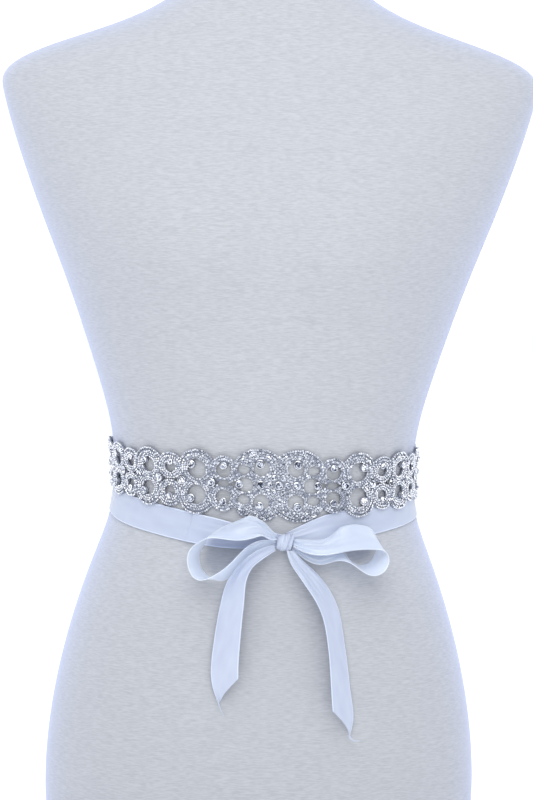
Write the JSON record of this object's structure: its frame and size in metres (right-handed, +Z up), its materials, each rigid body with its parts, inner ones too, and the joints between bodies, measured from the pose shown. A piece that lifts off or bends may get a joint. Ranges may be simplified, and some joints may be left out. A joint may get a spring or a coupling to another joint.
{
  "type": "rhinestone belt on dress form",
  "caption": "Openwork rhinestone belt with a satin ribbon that wraps round the waist and ties in a front bow, worn on a limbless dress form.",
  "frame": {"origin": "middle of the dress form's flat base", "axes": "+Z up, the front of the form and the bow face -Y, +X is to the right in the picture"},
  "size_m": [0.4084, 0.235, 0.722],
  "materials": {
    "jersey": "matt slub jersey, off-white",
    "satin": "smooth satin, pale ice blue white",
    "crystal": "clear glass stones in silver-coloured metal cups"
  },
  "bodies": {
    "root": {"dress_form": "jersey", "applique": "crystal", "ribbon_wrap_left": "satin", "ribbon_wrap_right": "satin", "knot": "satin", "bow_loop_left": "satin", "bow_loop_right": "satin", "bow_tail_left": "satin", "bow_tail_right": "satin"}
  },
  "joints": []
}
